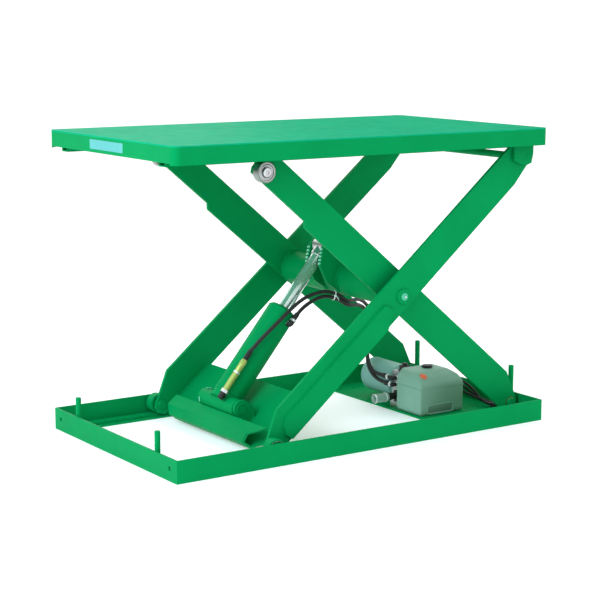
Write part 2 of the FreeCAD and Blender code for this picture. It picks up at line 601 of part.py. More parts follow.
# ---------------------------------------------------------------- power unit
def power_unit():
    """Tank, pump block, motor, lowering valve and feet, on their plate at the right end."""
    left = "tank_x"
    right = "(tank_x + tank_long)"
    tank = plate("oil_tank", (
        (left, "tank_z + 10"), (left + " + 10", "tank_z"), (right + " - 10", "tank_z"),
        (right, "tank_z + 10"),
        (right, "tank_shoulder - 14"), (right + " - 18", "tank_shoulder + 8"), (right + " - 46", "tank_top"),
        (left + " + 34", "tank_top"), (left + " + 10", "tank_shoulder + 10"), (left, "tank_shoulder - 8")),
        "tank_deep")
    node(place(tank, 0, "tank_y"), "oil_tank")
    cap = turned("filler_cap", ((0, 0), (14, 0), (14, 3), (18, 3), (18, 12), (15, 14), (0, 14)))
    node(place(cap, "tank_x + 98", "tank_y + 88", "tank_top"), "filler_cap")
    back = "(tank_y + tank_deep)"
    middle = "motor_x"
    block = box("pump_block_body", (middle + " - block_wide / 2", back, 24),
                (middle + " + block_wide / 2", "motor_from", "24 + block_tall"))
    foot = box("unit_foot", (middle + " - block_wide / 2 - 14", back + " + 6", "leg_thick"),
               (middle + " + block_wide / 2 + 14", "motor_from - 6", 24))
    node(joined("pump_block", [block, foot]), "pump_block")
    radius = "motor_dia / 2"
    motor = turned("pump_motor", (
        (0, 0), (radius + " - 6", 0), (radius + " - 6", 8), (radius, 12), (radius, "motor_long"),
        (0, "motor_long")))
    node(place(motor, middle, "motor_from", "motor_z", *y_turn(1)), "pump_motor")
    cover = turned("motor_end_cover", (
        (0, 0), (radius + " - 1", 0), (radius + " - 1", 6), (radius + " - 8", 15), (radius + " - 24", 19),
        (0, 19)))
    node(place(cover, middle, "motor_from + motor_long", "motor_z", *y_turn(1)), "motor_end_cover")
    valve = turned("lowering_valve", (
        (0, 0), (11, 0), (11, 46), (8, 46), (8, 54), (16.5, 54), (16.5, 108), (14.5, 110), (6, 110), (6, 118),
        (0, 118)))
    node(place(valve, middle + " - block_wide / 2", 6, 48, (0, 1, 0), -90), "lowering_valve")
    bolts = []
    for x in ("- block_wide / 2 - 7", "+ block_wide / 2 + 7"):
        for y in (-10, 26):
            bolt = doc.addObject("Part::Prism", "foot_bolt")
            bolt.Polygon = 6
            bolt.Circumradius = 6
            bolt.Height = 6
            bolts.append(place(bolt, middle + x, y, 24))
    grouped("foot_bolts", bolts)


# ---------------------------------------------------------------- hoses and cables
# World Y of the two elbows on the pump block.
ELBOW_Y = 14

# Routes in world millimetres. The two hoses run from the cylinder to a tie in front of the cross tube
# and then under it to the pump block; the cables run from the pump block to their connector.
UPPER_HOSES = (
    ((-241, -49, 301), (-212, -54, 330), (-179, -60, 360), (-136, -61, 392), (-93, -60, 425),
     (-36, -59, 462), (14, -60, 476), (60, -60, 481), (96, -60, 470)),
    ((-74, -64, 397), (-53, -66, 422), (-16, -65, 445), (30, -62, 461), (66, -60, 463), (96, -60, 453)),
)
LOWER_HOSES = (
    ((96.4, -60, 469.9), (117, -60, 463.6), (160, -52, 432), (220, -10, 428), (286, 44, 416), (348, 84, 384),
     (398, 120, 330), (424, 152, 266), (428, 190, 188), (426, 180, 142), (422, 144, 113), (420, 98, 112),
     (420, 56, 112)),
    ((96.4, -60, 452.9), (118, -60, 445.8), (158, -54, 420), (214, -22, 412), (276, 30, 398), (336, 72, 368),
     (384, 108, 318), (408, 140, 258), (414, 172, 176), (414, 164, 130), (414, 128, 100), (416, 82, 88),
     (416, 34, 88)),
)
CABLES = (
    ((542, 14, 104), (566, 14, 104), (600, 8, 110), (640, -16, 104), (676, -70, 90), (690, -120, 62),
     (697, -166, 24), (697, -214, 24)),
    ((542, 0, 92), (566, 0, 92), (600, -6, 94), (636, -30, 88), (668, -82, 74), (690, -124, 44),
     (707, -168, 17), (707, -214, 17)),
    ((542, -14, 80), (566, -14, 80), (604, -14, 78), (632, -44, 70), (656, -96, 56), (676, -144, 40),
     (717, -172, 24), (717, -214, 24)),
)


def route(points):
    """The path along a route: straight runs joined by tangent arcs, and the arcs' radii."""
    spots = [V(*point) for point in points]
    edges = []
    radii = []
    last = spots[0]
    for before, corner, after in zip(spots, spots[1:], spots[2:]):
        reach = 0.45 * min(before.distanceToPoint(corner), corner.distanceToPoint(after))
        into = (corner - before).normalize()
        out = (after - corner).normalize()
        half_turn = into.getAngle(out) / 2
        radius = reach / math.tan(half_turn)
        inward = (out - into).normalize() * (radius / math.cos(half_turn) - radius)
        start = corner - into * reach
        end = corner + out * reach
        edges.append(Part.LineSegment(last, start).toShape())
        edges.append(Part.Arc(start, corner + inward, end).toShape())
        radii.append(radius)
        last = end
    edges.append(Part.LineSegment(last, spots[-1]).toShape())
    return Part.Wire(edges), radii


def tube(name, points, width):
    """A round hose or cable along a route."""
    path, radii = route(points)
    radius = value(width) / 2
    start = V(*points[0])
    ring = Part.Circle(start, V(*points[1]) - start, radius).toShape()
    part = doc.addObject("Part::Feature", name)
    part.Shape = path.makePipeShell([Part.Wire([ring])], True, False)
    share = part.Shape.Volume / (math.pi * radius ** 2 * path.Length)
    print("%s: length %.0f mm, volume share %.3f, radii %s"
          % (name, path.Length, share, " ".join("%.0f" % r for r in radii)))
    return part


def port_spot(out, turn):
    """The place beside the cylinder's axis at a distance from it, turned from the front side."""
    return "-(%s) * sin(%s)" % (out, turn), "-(%s) * cos(%s)" % (out, turn)


def fittings():
    """The elbows on the barrel's two ports, and the flow regulator on the lower one."""
    ports = []
    lower = ("barrel_from + 8", "port_out", "port_turn", 14, -12, 8)
    upper = ("top_port_at", "top_port_out", "top_port_turn", 20, -12, 24)
    for at, out, turn, wide, low, high in (lower, upper):
        start = "(barrel_dia / 2 - 3)"
        x, y = port_spot(start, turn)
        blank = drum("port_boss_blank", wide, "%s - %s" % (out, start), (0, 0, 0), "z")
        on_cylinder(blank, (x, y, at), ("cos(%s)" % turn, "-sin(%s)" % turn, 0), 90)
        shell = on_cylinder(drum("port_boss_cutter", "barrel_dia", "barrel_to", (0, 0, 0), "z"))
        boss = cut("port_boss", blank, shell)
        x, y = port_spot(out, turn)
        elbow = drum("port_elbow", 22, high - low, (0, 0, 0), "z")
        on_cylinder(elbow, (x, y, "%s + (%s)" % (at, low)))
        ports.append(joined("barrel_port", [boss, elbow]))
    grouped("barrel_ports", ports)
    x, y = port_spot("port_out", "port_turn")
    body = turned("flow_regulator", (
        (0, 0), (12, 0), (12, 12), (11, 12), (11, 79), (12, 79), (12, 85), (11, 85), (11, 132), (8, 134),
        (8, 168), (0, 168)))
    node(on_cylinder(body, (x, y, "barrel_from + 16")), "flow_regulator")


def block_fittings():
    """The elbows on the pump block that the two hoses end in."""
    elbows = []
    for points in LOWER_HOSES:
        before, end = points[-2:]
        face_x = "motor_x - block_wide / 2"
        arm = drum("elbow_arm", 16, "(%s) - (%s)" % (face_x, end[0]), (end[0], ELBOW_Y, end[2]), "x")
        nut = drum("elbow_nut", 18, end[1] - ELBOW_Y + 8, (end[0], ELBOW_Y - 8, end[2]))
        elbows.append(joined("block_elbow", [arm, nut]))
    grouped("block_fittings", elbows)


def hoses():
    """The two hoses, in a length above the tie and a length below it, and the cables."""
    block_fittings()
    grouped("hoses_upper", [tube("upper_hose", points, "hose_dia") for points in UPPER_HOSES])
    grouped("hoses_lower", [tube("lower_hose", points, "hose_dia") for points in LOWER_HOSES])
    grouped("supply_cables", [tube("supply_cable", points, "cable_dia") for points in CABLES])
    plug = box("cable_connector", ("plug_x", "plug_y - 46", "leg_thick"),
               ("plug_x + 40", "plug_y", "leg_thick + 28"))
    node(plug, "cable_connector")


# ---------------------------------------------------------------- build and write
floor_frame()
lower_pivots()
outer_arms()
outer_cross()
inner_arms()
inner_cross()
rollers()
deck()
cylinder()
fittings()
power_unit()
hoses()
doc.recompute()

for item in doc.Objects:
    if "Invalid" in item.State or "Error" in item.State:
        raise RuntimeError("%s is %s" % (item.Label, item.State))
for part in NODES:
    if part.Shape.isNull() or not part.Shape.isValid():
        raise RuntimeError("%s has no valid shape" % part.Label)

os.makedirs("parts", exist_ok=True)
for part in NODES:
    part.Shape.exportStep(os.path.join("parts", part.Label + ".step"))
print(len(NODES), "sub-parts; pin to pin %.1f mm" % value(PIN_TO_PIN))
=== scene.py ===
"""Looks of the scissor lift table: camera, light, materials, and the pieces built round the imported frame."""

import math
import random

import bmesh
import bpy
from mathutils import Matrix, Vector
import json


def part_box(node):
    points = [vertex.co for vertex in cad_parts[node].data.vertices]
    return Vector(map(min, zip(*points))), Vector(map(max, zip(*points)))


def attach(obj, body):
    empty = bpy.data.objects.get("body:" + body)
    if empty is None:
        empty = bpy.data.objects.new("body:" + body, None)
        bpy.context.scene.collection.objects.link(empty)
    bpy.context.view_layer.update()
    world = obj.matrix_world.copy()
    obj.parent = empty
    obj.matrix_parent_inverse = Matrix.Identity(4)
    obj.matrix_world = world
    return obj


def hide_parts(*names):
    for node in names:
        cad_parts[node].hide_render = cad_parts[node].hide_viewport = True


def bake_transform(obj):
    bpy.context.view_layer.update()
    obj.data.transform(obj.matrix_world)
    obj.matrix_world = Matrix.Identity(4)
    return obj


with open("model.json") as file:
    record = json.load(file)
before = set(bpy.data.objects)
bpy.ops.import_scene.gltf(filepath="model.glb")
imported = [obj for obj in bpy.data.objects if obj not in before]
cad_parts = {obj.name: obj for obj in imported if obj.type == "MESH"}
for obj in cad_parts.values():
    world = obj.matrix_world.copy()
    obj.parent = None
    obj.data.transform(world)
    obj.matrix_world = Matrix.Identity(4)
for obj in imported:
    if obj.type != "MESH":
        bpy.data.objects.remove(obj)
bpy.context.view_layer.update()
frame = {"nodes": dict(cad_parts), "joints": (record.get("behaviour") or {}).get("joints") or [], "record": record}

# The camera: where it stands, in metres, and where it looks, in degrees.
CAMERA_AT = (-3.2383, -4.7690, 1.4461)
CAMERA_TURN = 34.093
CAMERA_DOWN = 9.808
CAMERA_ROLL = 0.123
CAMERA_LENS = 100.74
SENSOR = 36.0

# The light: the surround's strength at the horizon, from SKY_TOP up, and where the camera sees it directly.
SKY_LOW, SKY_HIGH, SKY_TOP, SKY_SEEN = 0.72, 1.15, 0.6, 1.05
FLOOR_GLOW = 0.16
FLOOR_REACH = 40
LAMPS = (("key", (-4.4, -1.0, 3.0), 2.6, 150, (0.80, 1.0, 1.22)),
         ("fill", (3.0, -3.6, 2.0), 2.4, 14, (1, 1, 1)),
         ("back", (1.0, 4.0, 2.6), 2.6, 50, (1, 1, 1)))
LAMPS_FACE = (0, 0, 0.5)

MM = 0.001
JOINTS = {joint["name"]: joint for joint in frame["joints"]}
FOLD_AT, CENTRE_AT, FOOT_AT = (Vector(JOINTS[name]["pos_m"]) for name in ("fold", "scissor", "cylinder_foot"))
# The arms: how steeply they rise, how long they are between their outer pivots (and half of that in mm), and
# the directions up each pair of arms and square off it.
RISE = math.atan2(CENTRE_AT.z - FOLD_AT.z, FOLD_AT.x - CENTRE_AT.x)
ARM_SPAN = (CENTRE_AT - FOLD_AT).length * 2
HALF_SPAN = ARM_SPAN / MM / 2
OUTER_UP = Vector((math.cos(RISE), 0, math.sin(RISE)))
OUTER_OFF = Vector((-math.sin(RISE), 0, math.cos(RISE)))
INNER_UP = Vector((-math.cos(RISE), 0, math.sin(RISE)))
INNER_OFF = Vector((math.sin(RISE), 0, math.cos(RISE)))
# The cylinder: its direction from foot to head, the direction square above it, and its length between pins,
# in mm.
ALONG = Vector(JOINTS["rod_stroke"]["axis"]).normalized()
UPWARD = Vector((-ALONG.z, 0, ALONG.x))
PIN_TO_PIN = 657.0
# The front side of the table is towards -Y, the rear side towards +Y.
SIDES = ((-1, "front"), (1, "rear"))
chance = random.Random(7)

scene = bpy.context.scene
scene.view_settings.view_transform = "Standard"


# ---------------------------------------------------------------- stage
def make_camera():
    """The camera at the viewing angle, with no shift and no depth of field."""
    turn, down = math.radians(CAMERA_TURN), math.radians(CAMERA_DOWN)
    ahead = Vector((math.sin(turn) * math.cos(down), math.cos(turn) * math.cos(down), -math.sin(down)))
    right = Vector((math.cos(turn), -math.sin(turn), 0))
    up = right.cross(ahead)
    data = bpy.data.cameras.new("camera")
    data.lens = CAMERA_LENS
    data.sensor_width = SENSOR
    data.clip_end = 100
    camera = bpy.data.objects.new("camera", data)
    scene.collection.objects.link(camera)
    camera.matrix_world = (Matrix.Translation(CAMERA_AT) @ Matrix((right, up, -ahead)).transposed().to_4x4()
                           @ Matrix.Rotation(math.radians(CAMERA_ROLL), 4, "Z"))
    scene.camera = camera


def make_light():
    """A bright surround, dimmer near the horizon, with a cool key from the left, a fill and a back light."""
    world = bpy.data.worlds.new("studio")
    world.use_nodes = True
    tree = world.node_tree
    background = tree.nodes["Background"]
    heading = tree.nodes.new("ShaderNodeTexCoord")
    split = tree.nodes.new("ShaderNodeSeparateXYZ")
    glow = tree.nodes.new("ShaderNodeMapRange")
    glow.inputs["From Min"].default_value = 0.0
    glow.inputs["From Max"].default_value = SKY_TOP
    glow.inputs["To Min"].default_value = SKY_LOW
    glow.inputs["To Max"].default_value = SKY_HIGH
    path = tree.nodes.new("ShaderNodeLightPath")
    seen = tree.nodes.new("ShaderNodeMix")
    seen.inputs["B"].default_value = SKY_SEEN
    tree.links.new(heading.outputs["Generated"], split.inputs["Vector"])
    tree.links.new(split.outputs["Z"], glow.inputs["Value"])
    tree.links.new(path.outputs["Is Camera Ray"], seen.inputs["Factor"])
    tree.links.new(glow.outputs["Result"], seen.inputs["A"])
    tree.links.new(seen.outputs["Result"], background.inputs["Strength"])
    background.inputs["Color"].default_value = (1, 1, 1, 1)
    scene.world = world
    for name, place, size, power, colour in LAMPS:
        data = bpy.data.lights.new(name, "AREA")
        data.size = size
        data.energy = power
        data.color = colour
        light = bpy.data.objects.new(name, data)
        scene.collection.objects.link(light)
        light.location = place
        light.rotation_euler = (Vector(LAMPS_FACE) - Vector(place)).to_track_quat("-Z", "Y").to_euler()


def make_floor():
    """A wide pale floor."""
    mesh = bpy.data.meshes.new("floor")
    corners = [(x * FLOOR_REACH, y * FLOOR_REACH, 0) for x, y in ((-1, -1), (1, -1), (1, 1), (-1, 1))]
    mesh.from_pydata(corners, [], [(0, 1, 2, 3)])
    floor = bpy.data.objects.new("floor", mesh)
    scene.collection.objects.link(floor)
    material, principled = shader("floor_white", (0.95, 0.95, 0.95), roughness=0.9, specular=0.1)
    principled.inputs["Emission Color"].default_value = (1, 1, 1, 1)
    principled.inputs["Emission Strength"].default_value = FLOOR_GLOW
    floor.data.materials.append(material)


# ---------------------------------------------------------------- materials
def shader(name, colour, roughness=0.5, metallic=0.0, specular=0.5):
    """A principled material with its constants set on the sockets."""
    material = bpy.data.materials.new(name)
    material.use_nodes = True
    principled = material.node_tree.nodes["Principled BSDF"]
    principled.inputs["Base Color"].default_value = (*colour, 1)
    principled.inputs["Roughness"].default_value = roughness
    principled.inputs["Metallic"].default_value = metallic
    principled.inputs["Specular IOR Level"].default_value = specular
    return material, principled


def noise(tree, scale, detail=2.0, stretch=(1, 1, 1)):
    """Noise in object space, in waves per metre."""
    place = tree.nodes.new("ShaderNodeTexCoord")
    mapping = tree.nodes.new("ShaderNodeMapping")
    mapping.inputs["Scale"].default_value = stretch
    texture = tree.nodes.new("ShaderNodeTexNoise")
    texture.inputs["Scale"].default_value = scale
    texture.inputs["Detail"].default_value = detail
    tree.links.new(place.outputs["Object"], mapping.inputs["Vector"])
    tree.links.new(mapping.outputs["Vector"], texture.inputs["Vector"])
    return texture.outputs["Fac"]


def spread(tree, source, low, high):
    """Map a 0.3 to 0.7 signal onto a range of numbers."""
    node = tree.nodes.new("ShaderNodeMapRange")
    node.inputs["From Min"].default_value = 0.3
    node.inputs["From Max"].default_value = 0.7
    node.inputs["To Min"].default_value = low
    node.inputs["To Max"].default_value = high
    tree.links.new(source, node.inputs["Value"])
    return node.outputs["Result"]


def two_tone(tree, principled, source, dark, light):
    """Colour between two tones by a signal."""
    ramp = tree.nodes.new("ShaderNodeValToRGB")
    ramp.color_ramp.elements[0].position = 0.3
    ramp.color_ramp.elements[0].color = (*dark, 1)
    ramp.color_ramp.elements[1].position = 0.7
    ramp.color_ramp.elements[1].color = (*light, 1)
    tree.links.new(source, ramp.inputs["Fac"])
    tree.links.new(ramp.outputs["Color"], principled.inputs["Base Color"])


def bump(tree, principled, source, depth):
    """Relief of a depth in metres."""
    node = tree.nodes.new("ShaderNodeBump")
    node.inputs["Distance"].default_value = depth
    node.inputs["Strength"].default_value = 1.0
    tree.links.new(source, node.inputs["Height"])
    tree.links.new(node.outputs["Normal"], principled.inputs["Normal"])


def paint(name, colour, variation=0.05, roughness=0.42, specular=0.3):
    """Sprayed enamel: orange peel, slow changes of shade and of gloss."""
    material, principled = shader(name, colour, roughness, specular=specular)
    tree = material.node_tree
    two_tone(tree, principled, noise(tree, 7, 4),
             [c * (1 - variation) for c in colour], [c * (1 + variation) for c in colour])
    tree.links.new(spread(tree, noise(tree, 23, 3), roughness - 0.05, roughness + 0.07),
                   principled.inputs["Roughness"])
    bump(tree, principled, noise(tree, 420, 2), 0.00006)
    return material


def turned_metal(name, colour, roughness=0.28, metallic=1.0):
    """Machined steel: fine marks and uneven polish."""
    material, principled = shader(name, colour, roughness, metallic)
    tree = material.node_tree
    marks = noise(tree, 900, 2, (0.04, 1, 0.04))
    two_tone(tree, principled, noise(tree, 60, 4),
             [c * 0.86 for c in colour], [min(1, c * 1.06) for c in colour])
    tree.links.new(spread(tree, marks, roughness - 0.07, roughness + 0.12), principled.inputs["Roughness"])
    bump(tree, principled, marks, 0.00002)
    return material


def ground_chrome(name, colour):
    """Hard chrome on a ground rod: smooth, with a slow change of polish."""
    material, principled = shader(name, colour, 0.14, 0.78)
    tree = material.node_tree
    tree.links.new(spread(tree, noise(tree, 24, 2), 0.10, 0.18), principled.inputs["Roughness"])
    return material


GREEN = (0.0004, 0.262, 0.073)
MATERIALS = {
    "green_paint": paint("green_enamel", GREEN, specular=0.022),
    "bright_steel": turned_metal("bright_steel", (0.60, 0.61, 0.62)),
    "dark_steel": turned_metal("dark_steel", (0.16, 0.17, 0.18), 0.4),
    # Painted reflection: the rod's chrome is tinted teal-green and lightened to stand in for the green frame
    # reflected in it.
    "chrome_rod": ground_chrome("chrome_painted_green_reflection", (0.58, 0.75, 0.69)),
    "bronze": turned_metal("bronze", (0.60, 0.40, 0.17), 0.35),
    "roller_steel": turned_metal("roller_steel", (0.24, 0.28, 0.25), 0.34),
    "tank_grey": paint("tank_grey", (0.205, 0.385, 0.29), 0.06, 0.5),
    "motor_grey": paint("motor_grey", (0.20, 0.42, 0.36), 0.05, 0.45),
    "block_aluminium": turned_metal("block_aluminium", (0.50, 0.52, 0.52), 0.4),
    "black_rubber": paint("black_rubber", (0.022, 0.022, 0.020), 0.2, 0.6),
    "black_plastic": paint("black_plastic", (0.014, 0.015, 0.014), 0.1, 0.45),
    "seal": paint("seal_black", (0.02, 0.02, 0.02), 0.1, 0.5),
    "valve_zinc": turned_metal("green_zinc", (0.26, 0.42, 0.34), 0.5, 0.35),
    "regulator_zinc": turned_metal("yellow_zinc", (0.42, 0.52, 0.14), 0.42, 0.7),
}
# Painted light: the frame's green made lighter and bluer for the light and sheen on the deck's top.
DECK_LIT_GREEN = paint("deck_green_painted_light", (0.004, 0.345, 0.165), 0.05, 0.5, 0.004)
WHITE_ZINC = turned_metal("white_zinc", (0.78, 0.80, 0.80), 0.34, 0.8)
WHITE_NYLON = paint("white_nylon", (0.78, 0.80, 0.78), 0.04, 0.5)
BLANK_LABEL = paint("blank_label", (0.10, 0.40, 0.37), 0.04, 0.4, 0.1)
# Painted highlight: a pale mint that stands in for glints on green-painted weld tacks.
GLINT_BEAD = paint("painted_glint_bead", (0.24, 0.74, 0.52), 0.06, 0.35, 0.4)
PALE_GREEN = paint("pale_green", (0.06, 0.46, 0.27), 0.05, 0.4, 0.3)
TANK_SHADE = paint("tank_shade", (0.11, 0.22, 0.16), 0.05, 0.6)
ORANGE_SPOT = paint("orange_spot", (0.76, 0.15, 0.06), 0.05, 0.45, 0.2)


def dress_frame():
    """Give every node of the frame its material, and its hard edges a small round, in metres."""
    slots = {part["node"]: part["material_slot"] for part in frame["record"]["subparts"]}
    for name, part in frame["nodes"].items():
        part.data.materials.clear()
        # The deck plate takes the lighter copy of the green, with light painted into its top.
        part.data.materials.append(DECK_LIT_GREEN if name == "deck_plate" else MATERIALS[slots[name]])
        low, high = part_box(name)
        thin = min(high - low)
        edge = part.modifiers.new("edge", "BEVEL")
        edge.width = min(0.0014, thin * 0.12)
        edge.segments = 2
        edge.limit_method = "ANGLE"
        edge.angle_limit = math.radians(32)


# ---------------------------------------------------------------- places
def outer_at(u, v, y):
    """A point on the outer arms, in mm: u from the roller axle up the arm, v square to it."""
    start = CENTRE_AT - OUTER_UP * ARM_SPAN / 2
    return start + OUTER_UP * u * MM + OUTER_OFF * v * MM + Vector((0, y * MM, 0))


def inner_at(t, v, y):
    """A point on the inner arms, in mm: t from the centre pivot up to the left, v square to the arm."""
    return CENTRE_AT + INNER_UP * t * MM + INNER_OFF * v * MM + Vector((0, y * MM, 0))


def cylinder_at(s, out=0, turn=0):
    """A point beside the cylinder, in mm: s from the foot pin, out from the axis, turned from the front."""
    side = Vector((0, -math.cos(math.radians(turn)), 0)) + UPWARD * math.sin(math.radians(turn))
    return FOOT_AT + ALONG * s * MM + side * out * MM


def at(x, y, z):
    """A point in the frame, in mm."""
    return Vector((x, y, z)) * MM


# The barrel's ports: how far up the cylinder each one is in mm, and its turn from the front in degrees.
LOWER_PORT = (12, 46)
UPPER_PORT = (348, -15)
LOWER_LINE, UPPER_LINE = 70, 66


def port_out(s, turn):
    """The direction straight out of a port."""
    return cylinder_at(s, 60, turn) - cylinder_at(s, 50, turn)


def lower_line(s):
    """A point on the line that the lower port's fittings share, s up the cylinder, in mm."""
    return cylinder_at(s, LOWER_LINE, LOWER_PORT[1])


def upper_line(s):
    """A point on the line that the upper port's fittings share, s up the cylinder, in mm."""
    return cylinder_at(s, UPPER_LINE, UPPER_PORT[1])


# ---------------------------------------------------------------- mesh helpers
def across(axis):
    """Two directions square to an axis and to each other."""
    first = axis.orthogonal().normalized()
    return first, axis.cross(first).normalized()


def turns(count):
    """Equal steps round a full turn, in radians."""
    return [2 * math.pi * step / count for step in range(count)]


def corner_turns(start):
    """Angles round a rounded corner, in radians, from a start in degrees."""
    return [math.radians(start + step) for step in (0, 22, 45, 68, 90)]


def towards(first, second, angle):
    """The direction at an angle from the first of two square directions to the second."""
    return first * math.cos(angle) + second * math.sin(angle)


def rings(mesh, loops, closed=False):
    """Faces between equal loops of vertices; a loop of one vertex is a tip."""
    pairs = list(zip(loops, loops[1:])) + ([(loops[-1], loops[0])] if closed else [])
    for lower, upper in pairs:
        count = max(len(lower), len(upper))
        for index in range(count):
            after = (index + 1) % count
            face = [lower[index % len(lower)], lower[after % len(lower)],
                    upper[after % len(upper)], upper[index % len(upper)]]
            mesh.faces.new([vertex for spot, vertex in enumerate(face) if vertex not in face[:spot]])


def lathe(mesh, spot, axis, profile, sides=32):
    """A turned shape: pairs of radius and height along the axis, in mm."""
    axis = Vector(axis).normalized()
    first, second = across(axis)
    loops = []
    for radius, height in profile:
        middle = spot + axis * height * MM
        if radius == 0:
            loops.append([mesh.verts.new(middle)])
            continue
        loops.append([mesh.verts.new(middle + towards(first, second, angle) * radius * MM)
                      for angle in turns(sides)])
    rings(mesh, loops)


def sweep(mesh, points, radius, sides=12, closed=False, capped=True):
    """A tube along points; the radius, in metres, is a number or one for each point."""
    count = len(points)
    widths = [radius] * count if isinstance(radius, float) else radius
    loops = []
    lead = None
    for index, point in enumerate(points):
        before = points[index - 1] if index or closed else point
        after = points[(index + 1) % count] if index < count - 1 or closed else point
        heading = (after - before).normalized()
        lead = across(heading)[0] if lead is None else (lead - heading * lead.dot(heading)).normalized()
        side = heading.cross(lead)
        loops.append([mesh.verts.new(point + towards(lead, side, angle) * widths[index])
                      for angle in turns(sides)])
    rings(mesh, loops, closed)
    if capped and not closed:
        mesh.faces.new(loops[0])
        mesh.faces.new(loops[-1])


def block(mesh, low, high, round_by=1.5, segments=3):
    """A box between two corners in mm, with its edges rounded."""
    made = bmesh.ops.create_cube(mesh, size=1.0)["verts"]
    low, high = Vector(low) * MM, Vector(high) * MM
    for vertex in made:
        vertex.co = Vector(b if part > 0 else a for a, b, part in zip(low, high, vertex.co))
    soften(mesh, made, round_by, segments)


def soften(mesh, vertices, round_by, segments=3):
    """Round the edges between some vertices, by mm."""
    chosen = set(vertices)
    edges = [edge for edge in mesh.edges if edge.verts[0] in chosen and edge.verts[1] in chosen]
    bmesh.ops.bevel(mesh, geom=edges, offset=round_by * MM, segments=segments, profile=0.5, affect="EDGES")


def prism(mesh, outline, thick):
    """A flat outline of points pushed along a vector."""
    near = [mesh.verts.new(point) for point in outline]
    far = [mesh.verts.new(point + thick) for point in outline]
    mesh.faces.new(near)
    mesh.faces.new(far)
    rings(mesh, [near, far])


def piece(name, mesh, body, finish, flat_angle=38):
    """Turn a mesh into a piece that rides on a body; finish is a slot's name or a material."""
    bmesh.ops.recalc_face_normals(mesh, faces=mesh.faces)
    data = bpy.data.meshes.new(name)
    mesh.to_mesh(data)
    mesh.free()
    for face in data.polygons:
        face.use_smooth = True
    data.set_sharp_from_angle(angle=math.radians(flat_angle))
    part = bpy.data.objects.new(name, data)
    scene.collection.objects.link(part)
    data.materials.append(MATERIALS[finish] if isinstance(finish, str) else finish)
    if body:
        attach(part, body)
    return part


def circle(middle, axis, radius, count):
    """Points round an axis, in metres; the radius is in mm."""
    first, second = across(Vector(axis).normalized())
    angles = [math.radians(360 * step / count) for step in range(count)]
    return [middle + towards(first, second, angle) * radius * MM for angle in angles]


def bead(mesh, points, radius=3.0, closed=False):
    """A weld bead along points: a thick rippled tube, its radius in mm, with one random draw at each step."""
    step = radius * 0.55 * MM
    spots = []
    widths = []
    path = points + points[:1] if closed else points
    phase = 0.0
    for start, end in zip(path, path[1:]):
        count = max(1, round((end - start).length / step))
        for index in range(count):
            spots.append(start.lerp(end, index / count))
            phase += 1.35
            widths.append((radius * (1 + 0.13 * math.sin(phase)) + chance.uniform(-0.12, 0.12)) * MM)
    if not closed:
        spots.append(path[-1])
        widths.append(radius * 0.6 * MM)
    sweep(mesh, spots, widths, 8, closed)


# ---------------------------------------------------------------- welds
# The outer arms in mm: faces beside the centre plane, heights of the sloping plate's faces, and the foot pin.
DOUBLER_FACE, ARM_INSIDE = 365, 351
PLATE_ABOVE, PLATE_BELOW = -31, -41
FOOT_LUG_FACES = (105.5, 120.5)
FOOT_PIN = (78, 27)
# The cross tube between the inner arms in mm: its centre, its end, and the faces of the head lugs on it.
TUBE_AT = (4, 18)
TUBE_END = 298
HEAD_LUG_FACES = (31.5, 46.5)
# Heights in mm just above the floor plates and just below the deck plate.
ON_FLOOR = 6.8
UNDER_DECK = 1038.8


def stitches(mesh, start, end, long, gap, radius):
    """Short beads along a line, with gaps, all in mm."""
    whole = (end - start).length / MM
    count = max(1, int((whole + gap) / (long + gap)))
    spare = (whole - count * long - (count - 1) * gap) / 2
    for index in range(count):
        first = (spare + index * (long + gap)) / whole
        bead(mesh, [start.lerp(end, first), start.lerp(end, first + long / whole)], radius)


def outer_arm_welds():
    """Beads on the outer arms: doublers, sloping plate, foot lugs and nose."""
    mesh = bmesh.new()
    doubler = ((575, -39), (634, -4), (619, 32), (101, 32), (78, 13), (67, -13), (75, -39))
    for side, _ in SIDES:
        bead(mesh, [outer_at(u, v, side * DOUBLER_FACE) for u, v in doubler], 2.4)
        for start, end, v, radius in ((63, 235, PLATE_ABOVE, 3.4), (234, 66, PLATE_BELOW, 3.0)):
            bead(mesh, [outer_at(start, v, side * ARM_INSIDE), outer_at(end, v, side * ARM_INSIDE)], radius)
        for face in FOOT_LUG_FACES:
            bead(mesh, [outer_at(63, PLATE_ABOVE, side * face), outer_at(99, PLATE_ABOVE, side * face)], 2.8)
        bead(mesh, circle(outer_at(*FOOT_PIN, side * 120.4), (0, 1, 0), 16.2, 32), 2.0, closed=True)
    bead(mesh, [outer_at(60.5, -33.5, -306), outer_at(60.5, -33.5, 272)], 2.6)
    piece("outer_arm_welds", mesh, "outer_arms", "green_paint")


def round_tube(degrees, radius, y):
    """Points round the cross tube, a radius and y in mm."""
    return [inner_at(TUBE_AT[0] + radius * math.cos(angle), TUBE_AT[1] + radius * math.sin(angle), y)
            for angle in map(math.radians, degrees)]


def inner_arm_welds():
    """Beads on the inner arms: cross tube and head lugs, with a row of tacks down each lug's edge, coloured pale
    as a painted highlight for weld glints.
    """
    mesh = bmesh.new()
    tacks = bmesh.new()
    for side, _ in SIDES:
        bead(mesh, round_tube([7.5 * step for step in range(48)], 60, side * TUBE_END), 3.6, closed=True)
        for face in HEAD_LUG_FACES:
            bead(mesh, round_tube(range(-84, 85, 8), 61, side * face), 3.0)
        for step in range(5):
            share = 0.08 + 0.2 * step
            spot = inner_at(170, 35, side * 39).lerp(inner_at(139, -20, side * 39), share)
            lathe(tacks, spot, inner_at(1, 0.56, 0) - inner_at(0, 0, 0),
                  ((6.5, -1), (6, 1.5), (4, 3), (0, 3.6)), 14)
    # The tacks take the pale colour as a painted highlight for weld glints.
    piece("head_lug_tacks", tacks, "inner_arms", GLINT_BEAD)
    piece("inner_arm_welds", mesh, "inner_arms", "green_paint")


